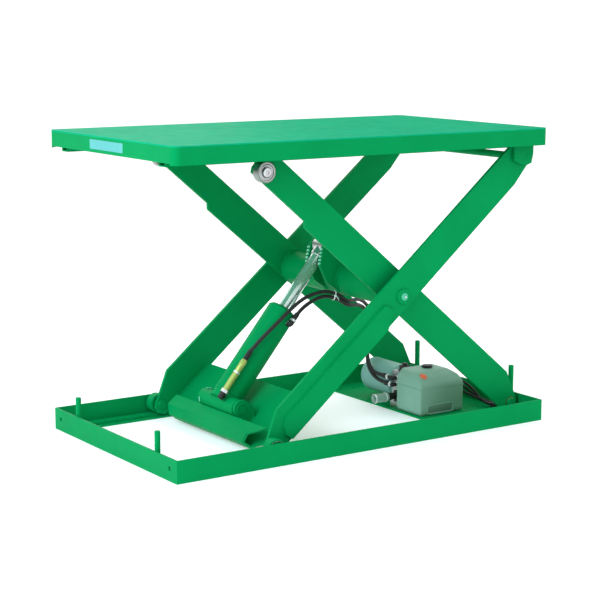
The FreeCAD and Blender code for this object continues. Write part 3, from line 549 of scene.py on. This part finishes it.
def base_welds():
    """Beads on the floor frame: corners, cheeks, rest pins and roller strips."""
    mesh = bmesh.new()
    for end in (-1, 1):
        for side, _ in SIDES:
            bead(mesh, [at(end * 744, side * 418, 8), at(end * 744, side * 418, 73)], 2.8)
            bead(mesh, circle(at(end * 734.5, side * 275, 6.6), (0, 0, 1), 10.3, 24), 2.2, closed=True)
    for side, _ in SIDES:
        bead(mesh, [at(665, side * 284.4, 7), at(741, side * 284.4, 7)], 2.8)
        for face in (367.6, 404.4):
            stitches(mesh, at(-742, side * face, ON_FLOOR), at(-334, side * face, ON_FLOOR), 34, 62, 2.2)
        stitches(mesh, at(394, side * 348, 6.6), at(674, side * 348, 6.6), 34, 48, 2.2)
    piece("base_welds", mesh, "base", "green_paint")


def deck_welds():
    """Beads under the deck: brackets, rails, skirts and ribs."""
    mesh = bmesh.new()
    rib_sides = (-600.6, -593.4, -400.6, -393.4, 39.4, 46.6, 299.4, 306.6)
    for side, _ in SIDES:
        for face in (365.6, 378.4):
            bead(mesh, [at(638, side * face, 1038.6), at(721, side * face, 1038.6)], 2.8)
        for face in (335.6, 350.4):
            bead(mesh, [at(652, side * face, 974), at(738, side * face, 974)], 2.6)
        for face in (311.6, 351.4):
            stitches(mesh, at(-730, side * face, UNDER_DECK), at(620, side * face, UNDER_DECK), 40, 120, 2.2)
        stitches(mesh, at(-690, side * 419.6, UNDER_DECK), at(690, side * 419.6, UNDER_DECK), 30, 140, 2.0)
    for x in rib_sides:
        stitches(mesh, at(x, -292, UNDER_DECK), at(x, 292, UNDER_DECK), 36, 90, 2.0)
    piece("deck_welds", mesh, "platform", "green_paint")


def cylinder_welds():
    """Beads round the barrel's foot cap and its two ports."""
    mesh = bmesh.new()
    bead(mesh, circle(cylinder_at(34), ALONG, 52.3, 48), 1.8, closed=True)
    for (s, turn), wide in ((LOWER_PORT, 7.4), (UPPER_PORT, 10.4)):
        bead(mesh, circle(cylinder_at(s, 53, turn), port_out(s, turn), wide, 20), 1.8, closed=True)
    piece("barrel_welds", mesh, "barrel", "green_paint")


# ---------------------------------------------------------------- rollers and pivots
SHIELD_FACE = -2.8
AXLE_PLUG = ((5.8, 0), (5.8, 2.6), (4.8, 3.4), (0, 3.4))


def roller_faces():
    """A bearing shield and a bright ring on each roller, and a plug in each axle's end."""
    for side, name in SIDES:
        for level, spot in (("lower", outer_at(0, 0, side * 402.4)),
                            ("upper", inner_at(HALF_SPAN, 0, side * 344.9))):
            roller = "%s_%s_roller" % (name, level)
            out = (0, side, 0)
            mesh = bmesh.new()
            profile = ((18.1, 0), (18.4, 1.4), (20, 2), (24, 2), (25.4, 1.4), (25.9, 0))
            lathe(mesh, spot, out, [(radius, SHIELD_FACE + height) for radius, height in profile], 40)
            raised = spot + Vector(out) * (SHIELD_FACE + 2) * MM
            for radius in (20.6, 23.2):
                sweep(mesh, circle(raised, out, radius, 40), 0.0005, 6, True)
            finish = MATERIALS["block_aluminium"] if level == "upper" else "green_paint"
            piece(roller + "_shield", mesh, roller, finish)
            mesh = bmesh.new()
            lathe(mesh, spot, out, ((27.2, -0.4), (27.4, 0.5), (28.6, 0.5), (28.8, -0.4)), 48)
            piece(roller + "_ring", mesh, roller, WHITE_ZINC)
    mesh = bmesh.new()
    for side, _ in SIDES:
        lathe(mesh, outer_at(0, 0, side * 402.6), (0, side, 0), AXLE_PLUG, 6)
    piece("lower_axle_plugs", mesh, "outer_arms", "bright_steel")
    mesh = bmesh.new()
    for side, _ in SIDES:
        lathe(mesh, inner_at(HALF_SPAN, 0, side * 345.3), (0, side, 0), AXLE_PLUG, 6)
    piece("upper_axle_plugs", mesh, "inner_arms", "bright_steel")


def pivot_details():
    """Caps and grease nipples in the centre pins, tacks beside the foot pin, and trim on the rod's eye."""
    caps = bmesh.new()
    nipples = bmesh.new()
    for side, _ in SIDES:
        spot = CENTRE_AT + Vector((0, side * 375 * MM, 0))
        lathe(caps, spot, (0, side, 0), ((12.8, -7), (12.8, -1.2), (11.4, 0), (5, 0.8), (0, 0.8)), 32)
        lathe(nipples, spot, (0, side, 0),
              ((3, 0.6), (3, 3), (1.8, 3.4), (1.8, 5), (2.5, 6), (1.6, 7.6), (0, 7.6)), 12)
    piece("centre_pin_caps", caps, "outer_arms", PALE_GREEN)
    piece("centre_grease_nipples", nipples, "outer_arms", WHITE_ZINC)
    tacks = bmesh.new()
    for start, end in ((15, 62), (132, 164)):
        arc = [outer_at(FOOT_PIN[0] + 32 * math.cos(angle), FOOT_PIN[1] + 32 * math.sin(angle), 103.8)
               for angle in map(math.radians, range(start, end, 6))]
        bead(tacks, arc, 1.6)
    # The arcs by the foot lug take the pale colour as a painted highlight for glints on the weld ring.
    piece("foot_lug_tacks", tacks, "outer_arms", GLINT_BEAD)
    eye = bmesh.new()
    for side, _ in SIDES:
        lathe(eye, cylinder_at(PIN_TO_PIN) + Vector((0, side * 31 * MM, 0)), (0, side, 0),
              ((22, -0.6), (22, 0.4), (24.5, 0.4), (24.5, -0.6)), 36)
    bead(eye, circle(cylinder_at(PIN_TO_PIN - 42), ALONG, 24.6, 32), 2.0, closed=True)
    piece("rod_eye_trim", eye, "rod", "bright_steel")


# ---------------------------------------------------------------- fittings, hoses and cables
HOSE_RADIUS = 0.0065
HOSE_SIDES = 16
# Each hose's route in mm, from its port on the barrel to the pump block.
HOSES = {
    "a": ((-241, -49, 301), (-212, -54, 330), (-179, -60, 360), (-136, -61, 392), (-93, -60, 425),
          (-36, -59, 462), (14, -60, 476), (60, -60, 481), (96, -60, 470), (117, -60, 463.6),
          (160, -52, 432), (220, -10, 428), (286, 44, 416), (348, 84, 384), (398, 120, 330),
          (424, 152, 266), (428, 190, 188), (426, 180, 142), (422, 144, 113), (420, 98, 112),
          (420, 56, 112)),
    "b": ((-74, -64, 397), (-53, -66, 422), (-16, -65, 445), (30, -62, 461), (66, -60, 463), (96, -60, 453),
          (118, -60, 445.8), (158, -54, 420), (214, -22, 412), (276, 30, 398), (336, 72, 368),
          (384, 108, 318), (408, 140, 258), (414, 172, 176), (414, 164, 130), (414, 128, 100),
          (416, 82, 88), (416, 34, 88)),
}
# Where each hose's last length starts to bend, and where a hose passes from one length to the next.
HOSE_SLACK = {"a": (286, 44, 416), "b": (276, 30, 398)}
HOSE_SPLITS = {"a": ((-93, -60, 425), (96, -60, 471)), "b": ((-30, -65, 438), (96, -60, 454))}
# The supply cables' routes in mm, from the motor's terminals to the connector, and their lengths in metres.
CABLES = (
    ((542, 14, 104), (566, 14, 104), (600, 8, 110), (640, -16, 104), (676, -70, 90), (690, -120, 62),
     (697, -166, 24), (697, -214, 24)),
    ((542, 0, 92), (566, 0, 92), (600, -6, 94), (636, -30, 88), (668, -82, 74), (690, -124, 44),
     (707, -168, 17), (707, -214, 17)),
    ((542, -14, 80), (566, -14, 80), (604, -14, 78), (632, -44, 70), (656, -96, 56), (676, -144, 40),
     (717, -172, 24), (717, -214, 24)),
)
CABLE_LENGTHS = (0.335, 0.318, 0.305)


def spline(name, points):
    """A smooth curve object whose control points are a route's points, in mm."""
    data = bpy.data.curves.new(name, "CURVE")
    data.dimensions = "3D"
    data.resolution_u = 14
    line = data.splines.new("NURBS")
    line.points.add(len(points) - 1)
    for spot, point in zip(line.points, points):
        spot.co = (*at(*point), 1)
    line.order_u = 3
    line.use_endpoint_u = True
    curve = bpy.data.objects.new(name, data)
    scene.collection.objects.link(curve)
    return curve


def sampled(name, points):
    """Points along the smooth curve of a route."""
    curve = spline(name + "_line", points)
    bpy.context.view_layer.update()
    mesh = bpy.data.meshes.new_from_object(curve)
    spots = [vertex.co.copy() for vertex in mesh.vertices]
    bpy.data.meshes.remove(mesh)
    bpy.data.objects.remove(curve)
    return spots


def nearest(spots, target):
    """The index of the point nearest to a target, in mm."""
    return min(range(len(spots)), key=lambda index: (spots[index] - at(*target)).length)


def hose(letter):
    """One hose from the cylinder to the pump block, in three lengths."""
    spots = sampled("hose_" + letter, HOSES[letter])
    tube = bmesh.new()
    sweep(tube, spots, HOSE_RADIUS, HOSE_SIDES, capped=False)
    tube.verts.ensure_lookup_table()
    rings_of = [[vertex.co.copy() for vertex in tube.verts[first:first + HOSE_SIDES]]
                for first in range(0, HOSE_SIDES * len(spots), HOSE_SIDES)]
    tube.free()
    first, second = (nearest(spots, point) for point in HOSE_SPLITS[letter])
    last = len(spots) - 1
    slack = nearest(spots, HOSE_SLACK[letter])
    sections = (("lower", 0, first, "barrel", "outer_arms", 3, first - 3),
                ("middle", first, second, "outer_arms", "inner_arms", first + 1, second - 1),
                ("upper", second, last, "inner_arms", "base", slack, last - 3))
    for label, start, end, before, after, bend_from, bend_to in sections:
        mesh = bmesh.new()
        rings(mesh, [[mesh.verts.new(co) for co in ring] for ring in rings_of[start:end + 1]])
        part = piece("hose_%s_%s" % (letter, label), mesh, None, "black_rubber")
        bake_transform(part)
        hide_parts("hoses_upper" if label != "upper" else "hoses_lower")


def crimp(mesh, spot, axis, long):
    """A crimped ferrule on a hose end, in mm."""
    profile = [(6.6, 0), (8.6, 0.8)]
    count = max(2, int(long / 6))
    for index in range(count):
        base = 3 + index * (long - 6) / count
        profile += [(9.2, base), (9.2, base + 2.6), (8.3, base + 3.4), (8.3, base + 4.4)]
    profile += [(9.0, long - 1.5), (8.4, long), (6.6, long)]
    lathe(mesh, spot, axis, profile, 24)


def hexagon(mesh, spot, axis, wide, tall):
    """A hexagon nut with turned ends, in mm; wide is across its corners."""
    half = wide / 2
    lathe(mesh, spot, axis, ((half * 0.6, 0), (half * 0.9, 0), (half, 1.2), (half, tall - 1.2),
                             (half * 0.9, tall), (half * 0.6, tall)), 6)


def bent_pipe(mesh, points, radius):
    """A short elbow through points, its corner rounded."""
    first, corner, last = points
    spots = [first]
    for step in range(9):
        share = step / 8
        early = first.lerp(corner, 0.5 + 0.5 * share)
        late = corner.lerp(last, 0.5 * share)
        spots.append(early.lerp(late, share))
    spots.append(last)
    sweep(mesh, spots, radius, 18)


def port_fittings():
    """Elbows and nuts on the barrel's ports, and the flow regulator on the lower one."""
    black = bmesh.new()
    zinc = bmesh.new()
    s, turn = LOWER_PORT
    bent_pipe(black, [cylinder_at(s, 51, turn), cylinder_at(s - 2, 69, turn), lower_line(s + 18)], 0.0095)
    lathe(black, lower_line(s - 16), ALONG, ((0, 0), (8, 0), (11, 2.5), (11, 24), (0, 24)), 24)
    hexagon(zinc, cylinder_at(s, 52.5, turn), port_out(s, turn), 19, 7)
    hexagon(zinc, lower_line(s + 8), ALONG, 27, 12)
    s, turn = UPPER_PORT
    bent_pipe(black, [cylinder_at(s, 51, turn), upper_line(s - 2), upper_line(s + 18)], 0.0095)
    hexagon(zinc, cylinder_at(s, 52.5, turn), port_out(s, turn), 21, 6)
    hexagon(zinc, upper_line(s + 13), ALONG, 22, 9)
    crimp(black, lower_line(154), ALONG, 38)
    start, after = (at(*point) for point in HOSES["b"][:2])
    heading = (after - start).normalized()
    crimp(black, start - heading * 0.003, heading, 24)
    part = piece("port_elbows", black, "barrel", "black_plastic")
    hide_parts("barrel_ports")
    piece("port_nuts", zinc, "barrel", WHITE_ZINC)
    body = bmesh.new()
    grooves = [(11, 32), (11, 36)]
    for index in range(17):
        grooves += [(10.6, 37 + index * 3.4), (11.2, 38 + index * 3.4), (11.2, 39.4 + index * 3.4)]
    grooves += [(10.6, 97), (10.6, 106), (11, 107), (11, 146), (9.6, 150), (8.4, 154), (0, 154)]
    lathe(body, lower_line(0), ALONG, [(0, 32)] + grooves, 32)
    part = piece("flow_regulator_body", body, "barrel", "regulator_zinc")
    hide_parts("flow_regulator")
    ring = bmesh.new()
    lathe(ring, lower_line(0), ALONG, ((11.3, 98), (12.4, 98.6), (12.4, 104.4), (11.3, 105)), 32)
    piece("flow_regulator_ring", ring, "barrel", WHITE_ZINC)


def pump_fittings():
    """Elbows, nuts and crimps where the hoses meet the pump block."""
    black = bmesh.new()
    zinc = bmesh.new()
    for x, y, z in (HOSES["a"][-1], HOSES["b"][-1]):
        bent_pipe(black, [at(438, 14, z), at(x, 14, z), at(x, y - 14, z)], 0.0075)
        hexagon(zinc, at(438, 14, z), (-1, 0, 0), 24, 8)
        hexagon(zinc, at(x, y - 14, z), (0, 1, 0), 21, 12)
        crimp(black, at(x, y - 3, z), (0, 1, 0), 28)
    part = piece("pump_elbows", black, "base", "black_plastic")
    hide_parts("block_fittings")
    piece("pump_elbow_nuts", zinc, "base", WHITE_ZINC)


def cable_tie():
    """The tie that holds the two hoses together in front of the cross tube."""
    mesh = bmesh.new()
    heading = Vector((0.95, 0, -0.31)).normalized()
    side = Vector((0, 1, 0))
    up = heading.cross(side).normalized()
    up = up if up.z > 0 else -up
    middle = at(97, -60, 461.5)
    loop = []
    for angle in turns(32):
        reach = 8.6 * MM * (1 if math.sin(angle) >= 0 else -1)
        loop.append(middle + side * 7.6 * MM * math.cos(angle) + up * (7.6 * MM * math.sin(angle) + reach))
    for offset in (-1.4, 0, 1.4):
        sweep(mesh, [spot + heading * offset * MM for spot in loop], 0.0009, 6, True)
    block(mesh, (93, -72, 458), (101, -66, 465), 1.0)
    sweep(mesh, [at(97, -71, 461), at(99, -80, 456), at(100, -86, 448)], 0.0011, 8)
    piece("hose_tie", mesh, "inner_arms", WHITE_NYLON)


def cables():
    """Three supply cables from the motor's terminals to their connector."""
    mesh = bmesh.new()
    block(mesh, (687, -258, 6.5), (727, -216, 33.5), 3.0)
    for y in (-250, -243, -236):
        block(mesh, (685.6, y - 1.6, 9), (728.4, y + 1.6, 31), 0.8, 2)
    for cable in CABLES:
        x, _, z = cable[-1]
        lathe(mesh, at(x, -219, z), (0, 1, 0), ((0, 0), (7.2, 0), (7.2, 5), (6, 7), (5.2, 13), (4.6, 13)), 20)
    housing = piece("connector_housing", mesh, "base", "black_plastic")
    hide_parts("cable_connector")
    glands = bmesh.new()
    for number, (points, length) in enumerate(zip(CABLES, CABLE_LENGTHS), start=1):
        cable = spline("supply_cable_%d" % number, points)
        cable.data.bevel_depth = 0.0045
        cable.data.bevel_resolution = 5
        cable.data.materials.append(MATERIALS["black_rubber"])
        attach(cable, "base")
        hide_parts("supply_cables")
        x, y, z = points[0]
        hexagon(glands, at(x, y, z), (1, 0, 0), 16, 7)
        lathe(glands, at(x + 7, y, z), (1, 0, 0), ((6.6, 0), (6, 3), (5, 8), (4.6, 8)), 20)
    piece("cable_glands", glands, "base", "black_plastic")


# ---------------------------------------------------------------- power unit
# Places in mm: the filler's axis, the motor's axis and the lowering valve's axis.
FILLER_X, FILLER_Y = 498, -83
MOTOR_X, MOTOR_Z = 490, 85
VALVE_Y, VALVE_Z = 6, 48


def tank():
    """The moulded oil tank: sloping shoulders, a seam, a handle hollow, a round spot and a filler."""
    mesh = bmesh.new()
    levels = ((6, 406, 594, -166, -33), (14, 400, 600, -171, -28), (118, 400, 600, -171, -28),
              (142, 406, 584, -156, -28), (161, 422, 556, -126, -32))
    loops = []
    for z, left, right, front, back in levels:
        loops.append([mesh.verts.new(at(x, y, z)) for x, y in (
            (left, front), (right, front), (right, back), (left, back))])
    rings(mesh, loops)
    mesh.faces.new(loops[0])
    mesh.faces.new(loops[-1])
    soften(mesh, [vertex for loop in loops for vertex in loop], 7.5, 4)
    seam = [at(x, y, 104) for x, y in ((401, -171.4), (599, -171.4), (600.4, -170), (600.4, -29),
                                       (599, -27.6), (401, -27.6), (399.6, -29), (399.6, -170))]
    sweep(mesh, seam, 0.0011, 8, True)
    rim = []
    for x, z, start in ((540, 34, 0), (442, 34, 90), (442, 20, 180), (540, 20, 270)):
        rim += [at(x + 9 * math.cos(angle), -171.6, z + 9 * math.sin(angle)) for angle in corner_turns(start)]
    sweep(mesh, rim, 0.0022, 8, True)
    part = piece("moulded_tank", mesh, "base", "tank_grey", 50)
    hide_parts("oil_tank")
    hollow = bmesh.new()
    block(hollow, (438, -172.2, 18), (544, -170.4, 37), 0.8, 2)
    piece("tank_handle_hollow", hollow, "base", TANK_SHADE)
    spot = bmesh.new()
    slope = Vector((0, -0.535, 0.845)).normalized()
    lathe(spot, at(431, -147.6, 147.3), slope, ((0, -0.5), (14, -0.5), (14, 0.6), (13.6, 0.9), (0, 0.9)), 32)
    piece("tank_round_spot", spot, "base", ORANGE_SPOT)
    cap = bmesh.new()
    profile = [(0, -6), (15, -6), (15, 2), (19, 2), (19, 7), (17, 9.4), (8, 10), (0, 10)]
    lathe(cap, at(FILLER_X, FILLER_Y, 161), (0, 0, 1), profile, 28)
    for angle in turns(14):
        lathe(cap, at(FILLER_X + 18.4 * math.cos(angle), FILLER_Y + 18.4 * math.sin(angle), 163), (0, 0, 1),
              ((0, 0), (2.2, 0), (2.2, 5), (0, 5)), 8)
    part = piece("tank_filler", cap, "base", "black_plastic")
    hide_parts("filler_cap")


def pump_details():
    """Bands on the motor, screws, valve rings and coils on the motor and the pump block."""
    bands = bmesh.new()
    for y in (58, 209, 221):
        lathe(bands, at(MOTOR_X, y, MOTOR_Z), (0, 1, 0), ((61.6, 0), (62.9, 0.6), (62.9, 3.4), (61.6, 4)), 64)
    piece("motor_bands", bands, "base", "motor_grey")
    screws = bmesh.new()
    for step in range(4):
        angle = math.radians(45 + 90 * step)
        spot = at(MOTOR_X + 46 * math.cos(angle), 237, MOTOR_Z + 46 * math.sin(angle))
        hexagon(screws, spot, (0, 1, 0), 11, 5)
        lathe(screws, spot, (0, 1, 0), ((0, -1.5), (7, -1.5), (7, 0.4), (0, 0.4)), 20)
    for x in (448, 532):
        for z in (34, 126):
            hexagon(screws, at(x, -27.6, z), (0, 1, 0), 12, 4)
            lathe(screws, at(x, 18, 136), (0, 0, 1), ((0, 0), (6, 0), (6, 5), (5, 6), (0, 6)), 18)
    for x in (431, 549):
        for y in (-10, 26):
            lathe(screws, at(x, y, 24), (0, 0, 1), ((6.2, -0.2), (10, -0.2), (10, 1.6), (6.2, 1.6)), 24)
    for x in (330, 378):
        lathe(screws, at(x, VALVE_Y, VALVE_Z), (-1, 0, 0), ((16.6, 0), (17.4, 1), (17.4, 5), (16.6, 6)), 32)
    piece("unit_screws", screws, "base", WHITE_ZINC)
    coil = bmesh.new()
    block(coil, (444, -16, 128), (474, 14, 160), 3)
    lathe(coil, at(459, -1, 158), (0, 0, 1), ((0, 0), (10, 0), (10, 8), (8, 10), (0, 10)), 24)
    block(coil, (424, -8, 30), (439, 20, 66), 2.5)
    hexagon(coil, at(386, VALVE_Y, VALVE_Z), (1, 0, 0), 30, 12)
    lathe(coil, at(396, VALVE_Y, VALVE_Z), (1, 0, 0), ((0, 0), (12.5, 0), (12.5, 30), (0, 30)), 24)
    piece("valve_coils", coil, "base", "black_plastic")


def labels():
    """A blank label on the left end skirt."""
    mesh = bmesh.new()
    outline = []
    for y, z, start in ((118, 1027, 0), (-99, 1027, 90), (-99, 1004, 180), (118, 1004, 270)):
        outline += [at(-749.9, y + 4 * math.cos(angle), z + 4 * math.sin(angle))
                    for angle in corner_turns(start)]
    prism(mesh, outline, Vector((-0.0006, 0, 0)))
    piece("blank_end_label", mesh, "platform", BLANK_LABEL)


make_camera()
make_light()
make_floor()
dress_frame()
outer_arm_welds()
inner_arm_welds()
base_welds()
deck_welds()
cylinder_welds()
roller_faces()
pivot_details()
hose("a")
hose("b")
port_fittings()
pump_fittings()
cable_tie()
cables()
tank()
pump_details()
labels()
